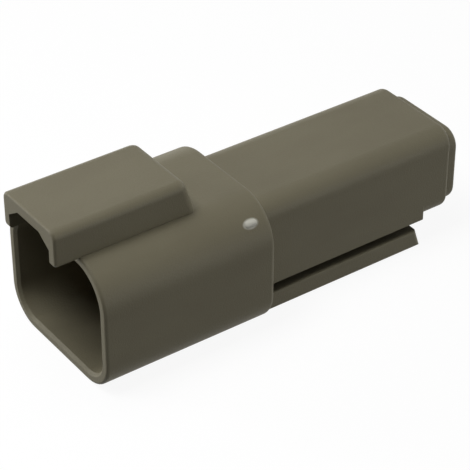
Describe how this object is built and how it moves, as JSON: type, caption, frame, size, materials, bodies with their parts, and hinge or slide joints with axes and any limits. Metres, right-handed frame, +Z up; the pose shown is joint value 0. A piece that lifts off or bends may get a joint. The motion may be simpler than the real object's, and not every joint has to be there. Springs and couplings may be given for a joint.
{
  "type": "sealed wire connector receptacle",
  "caption": "Sealed rectangular wire connector, pin half: rounded mating shell with a latch hood, narrower rear body with a clip rail, pin contacts, wedge lock, wire seal and retainer.",
  "frame": {"origin": "on the resting surface, below the middle of the whole length and width", "axes": "+X along the connector from the mating mouth to the wire end, +Y across it to the side away from the moulding gate, +Z up"},
  "size_m": [0.047, 0.017, 0.0173],
  "materials": {
    "housing_plastic": "matte",
    "wedge_plastic": "satin",
    "contact_plating": "satin",
    "seal_rubber": "matte"
  },
  "bodies": {
    "root": {"housing": "housing_plastic", "wedge_lock": "wedge_plastic", "contact_pin_left": "contact_plating", "contact_pin_right": "contact_plating", "wire_seal": "seal_rubber", "seal_retainer": "housing_plastic"}
  },
  "joints": []
}
